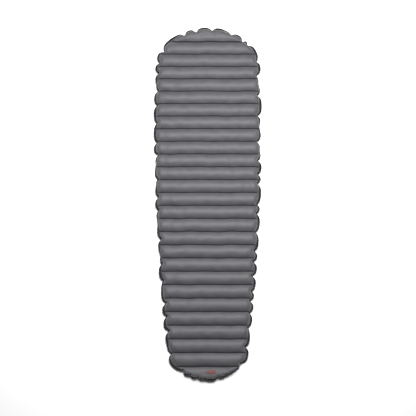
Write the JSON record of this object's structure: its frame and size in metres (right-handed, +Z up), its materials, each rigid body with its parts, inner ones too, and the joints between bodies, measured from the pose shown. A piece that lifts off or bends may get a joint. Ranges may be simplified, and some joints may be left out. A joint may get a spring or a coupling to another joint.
{
  "type": "inflatable sleeping pad",
  "caption": "Blown-up mummy-shaped air sleeping pad with straight cross baffles, a truss film core and a one-way valve with a turning winged knob.",
  "frame": {"origin": "on the ground, under the middle of the pad's box", "axes": "+X across the pad, +Y along it towards the wide head end, +Z up from the ground"},
  "size_m": [0.5508, 1.8296, 0.064],
  "materials": {
    "upper_fabric": "matte coated nylon",
    "lower_fabric": "matte heavier nylon",
    "core_film": "metallised film",
    "patch_fabric": "welded patch",
    "valve_plastic": "moulded",
    "knob_plastic": "moulded",
    "seal_rubber": "soft silicone",
    "valve_steel": "stainless"
  },
  "bodies": {
    "pad": {"top_sheet": "upper_fabric", "bottom_sheet": "lower_fabric", "upper_truss_film": "core_film", "middle_film": "core_film", "lower_truss_film": "core_film", "valve_patch_ring": "patch_fabric", "valve_body": "valve_plastic", "return_spring": "valve_steel", "retaining_ring": "valve_steel"},
    "knob": {"wing_knob": "knob_plastic"},
    "poppet": {"poppet": "valve_plastic", "poppet_seal": "seal_rubber", "cross_pin": "valve_steel", "spring_washer": "valve_steel"}
  },
  "joints": [
    {"name": "poppet_travel", "type": "slide", "parent": "pad", "child": "poppet", "axis": [-0.6975, -0.5133, 0.5], "range_m": [0, 0.004], "stiffness_N_per_m": 150, "springref_m": -0.003, "deforming": ["return_spring"]},
    {"name": "knob_turn", "type": "hinge", "parent": "pad", "child": "knob", "pos_m": [0.22103, 0.8016, 0.01776], "axis": [0.6975, 0.5133, -0.5], "range_deg": [0, 90]}
  ],
  "couplings": [
    {"joint": "knob_turn", "follows": "poppet_travel", "rad_per_m": 392.7}
  ]
}
